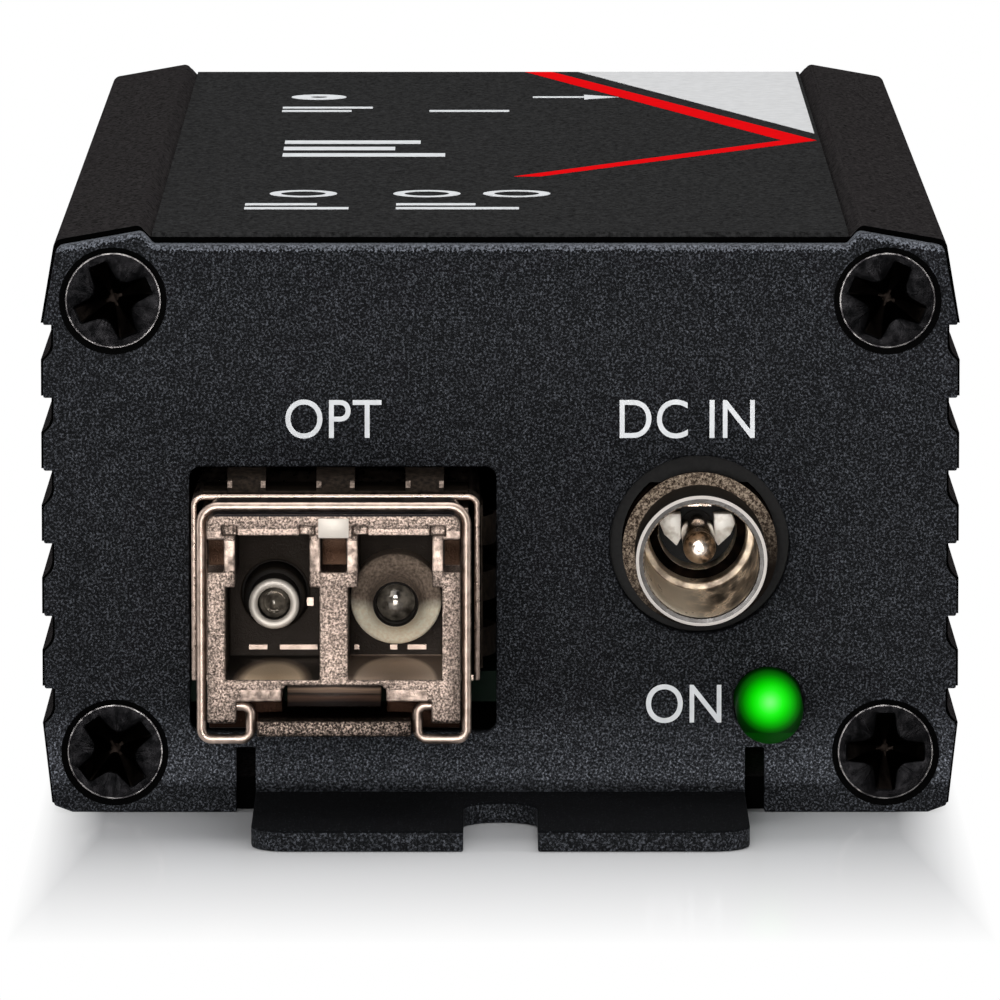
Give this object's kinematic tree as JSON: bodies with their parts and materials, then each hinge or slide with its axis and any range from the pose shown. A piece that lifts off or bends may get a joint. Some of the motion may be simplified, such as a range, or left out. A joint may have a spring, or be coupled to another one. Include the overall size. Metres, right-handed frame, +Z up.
{
  "type": "sdi fiber transmitter",
  "caption": "Small ribbed black converter box with a slotted bent foot at each end, a pluggable optical transceiver with wire bail, a threaded DC jack, a lamp and rear coaxial jacks.",
  "frame": {"origin": "centre of the body's underside", "axes": "+X to the right seen from the front, +Y from the transceiver end to the coaxial end, +Z up through the label"},
  "size_m": [0.0476, 0.1215, 0.0305],
  "materials": {
    "black_anodised": "matt black anodised extrusion",
    "speckled_coat": "black coat with fine grey speckle",
    "black_steel": "black oiled steel, semi-gloss",
    "label_film": "printed satin film",
    "board_laminate": "green solder mask",
    "cage_metal": "bright nickel-plated sheet",
    "spring_metal": "bright spring strip",
    "cast_nickel": "sandy cast and plated",
    "polished_steel": "polished",
    "nickel_plate": "bright nickel plate",
    "gold_contact": "gold plate",
    "white_insulator": "white resin",
    "black_moulding": "black moulding",
    "chip_resin": "chip resin",
    "chip_ceramic": "ceramic chip parts",
    "ferrite": "grey ferrite",
    "can_aluminium": "bright can",
    "tinned_lead": "tinned wire",
    "green_lens": "clear green lens, lit"
  },
  "bodies": {
    "enclosure": {"body_extrusion": "black_anodised", "bulk_capacitors": "can_aluminium", "cage_floor": "cage_metal", "cage_shell": "cage_metal", "chip_parts": "chip_ceramic", "crystal": "nickel_plate", "equalizer_chip": "chip_resin", "front_panel": "speckled_coat", "front_screws": "black_steel", "host_connector": "black_moulding", "host_contacts": "gold_contact", "input_jack_block": "black_moulding", "input_jack_contact": "gold_contact", "input_jack_insulator": "white_insulator", "input_jack_nut": "nickel_plate", "input_jack_shell": "nickel_plate", "input_jack_washer": "nickel_plate", "jack_body": "black_moulding", "jack_contact": "nickel_plate", "jack_pin": "nickel_plate", "jack_sleeve": "nickel_plate", "lamp_holder": "black_moulding", "lamp_leads": "tinned_lead", "latch_tongue": "cage_metal", "loop_jack_block": "black_moulding", "loop_jack_contact": "gold_contact", "loop_jack_insulator": "white_insulator", "loop_jack_nut": "nickel_plate", "loop_jack_shell": "nickel_plate", "loop_jack_washer": "nickel_plate", "main_board": "board_laminate", "power_inductor": "ferrite", "power_lamp": "green_lens", "rear_panel": "speckled_coat", "rear_screws": "black_steel", "regulator_chip": "chip_resin", "roof_fingers": "spring_metal", "serializer_chip": "chip_resin", "side_fingers": "spring_metal", "top_label": "label_film"},
    "transceiver": {"transceiver_housing": "cast_nickel", "transceiver_cover": "cage_metal", "transceiver_board": "board_laminate", "transmit_barrel": "polished_steel", "receive_barrel": "polished_steel"},
    "bail": {"bail_latch": "polished_steel"},
    "release": {"release_slider": "cast_nickel"}
  },
  "joints": [
    {"name": "transceiver_slide", "type": "slide", "parent": "enclosure", "child": "transceiver", "axis": [0, -1, 0], "range_m": [0, 0.045], "deforming": ["latch_tongue"]},
    {"name": "bail_hinge", "type": "hinge", "parent": "transceiver", "child": "bail", "pos_m": [-0.0085, -0.0556, 0.0069], "axis": [1, 0, 0], "range_deg": [0, 90]},
    {"name": "release_slide", "type": "slide", "parent": "transceiver", "child": "release", "axis": [0, 1, 0], "range_m": [0, 0.0012]}
  ],
  "couplings": [
    {"joint": "release_slide", "follows": "bail_hinge", "m_per_rad": 0.00076}
  ]
}
